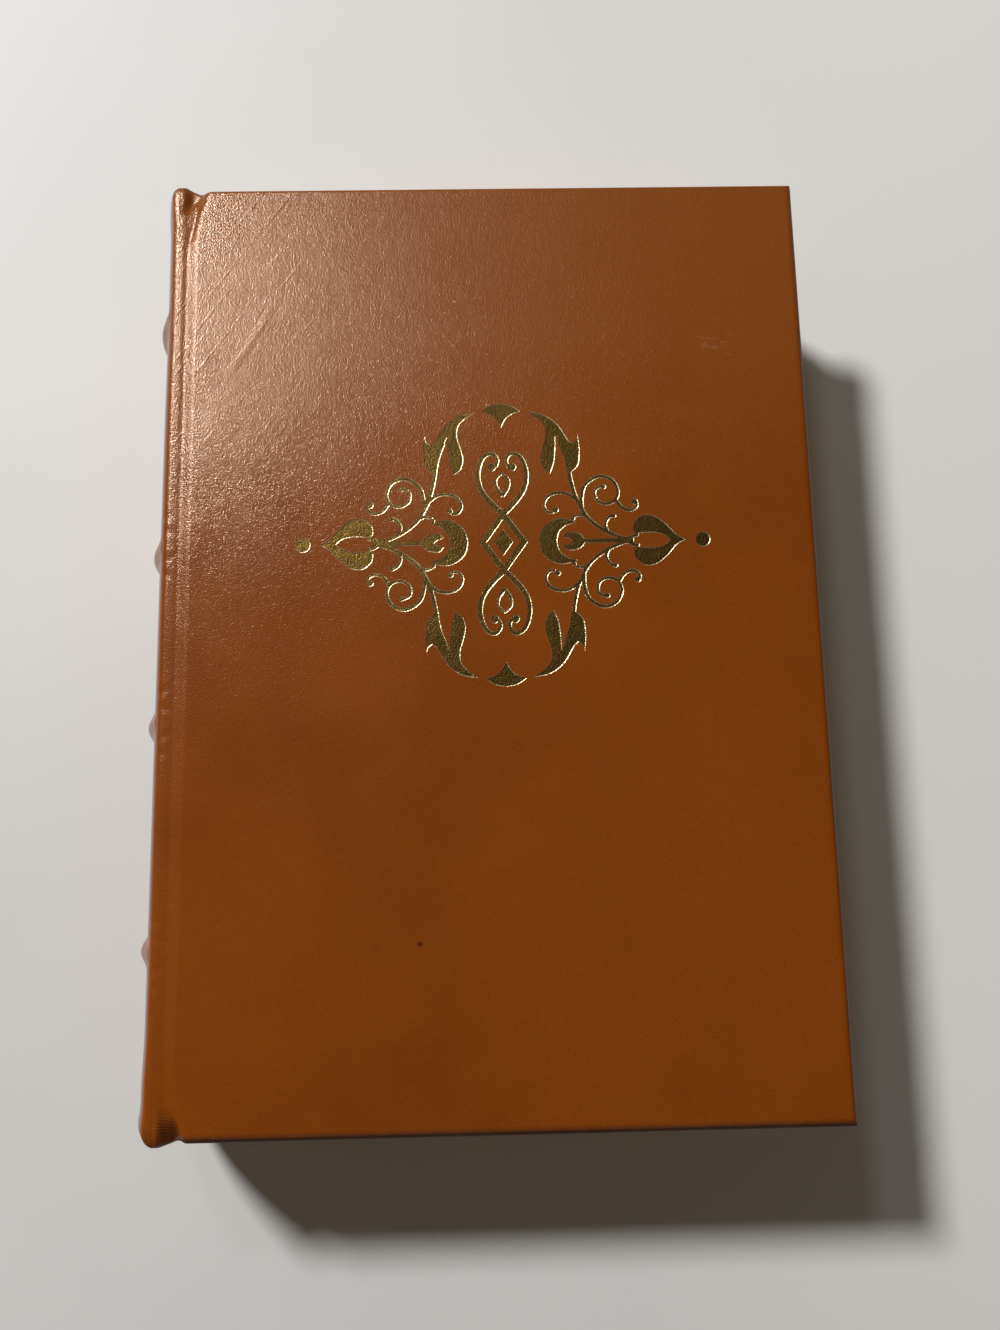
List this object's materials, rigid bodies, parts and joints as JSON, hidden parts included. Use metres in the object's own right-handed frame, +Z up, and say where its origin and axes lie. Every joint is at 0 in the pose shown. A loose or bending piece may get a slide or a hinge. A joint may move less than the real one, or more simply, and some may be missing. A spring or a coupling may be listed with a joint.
{
  "type": "leather-bound book",
  "caption": "Thick leather-bound book lying closed: rounded spine with raised bands and rolled caps, gilt page edges, covers that open, and a gold arabesque on the front.",
  "frame": {"origin": "middle of the closed book's box, on the surface that the back cover lies on", "axes": "+X from the spine to the fore-edge, +Y from the tail to the head, +Z up through the front cover"},
  "size_m": [0.1733, 0.2442, 0.048],
  "materials": {
    "leather": "satin",
    "pages": "satin",
    "endpaper": "matte",
    "board": "matte",
    "card": "matte",
    "mull": "matte",
    "silk": "satin",
    "gold": "gloss"
  },
  "bodies": {
    "book_block": {"text_block": "pages", "front_flyleaf": "endpaper", "back_flyleaf": "endpaper", "headband": "silk", "tailband": "silk", "spine_lining": "mull", "spine_inlay": "card", "spine_leather": "leather", "band_1": "card", "band_2": "card", "band_3": "card", "band_4": "card"},
    "front_cover": {"front_board": "board", "front_leather": "leather", "front_pastedown": "endpaper", "front_gilding": "gold"},
    "back_cover": {"back_board": "board", "back_leather": "leather", "back_pastedown": "endpaper"}
  },
  "joints": [
    {"name": "front_joint", "type": "hinge", "parent": "book_block", "child": "front_cover", "pos_m": [-0.07489, 0, 0.048], "axis": [0, -1, 0], "range_deg": [0, 180]},
    {"name": "back_joint", "type": "hinge", "parent": "book_block", "child": "back_cover", "pos_m": [-0.07489, 0, 0], "axis": [0, 1, 0], "range_deg": [0, 180]}
  ]
}
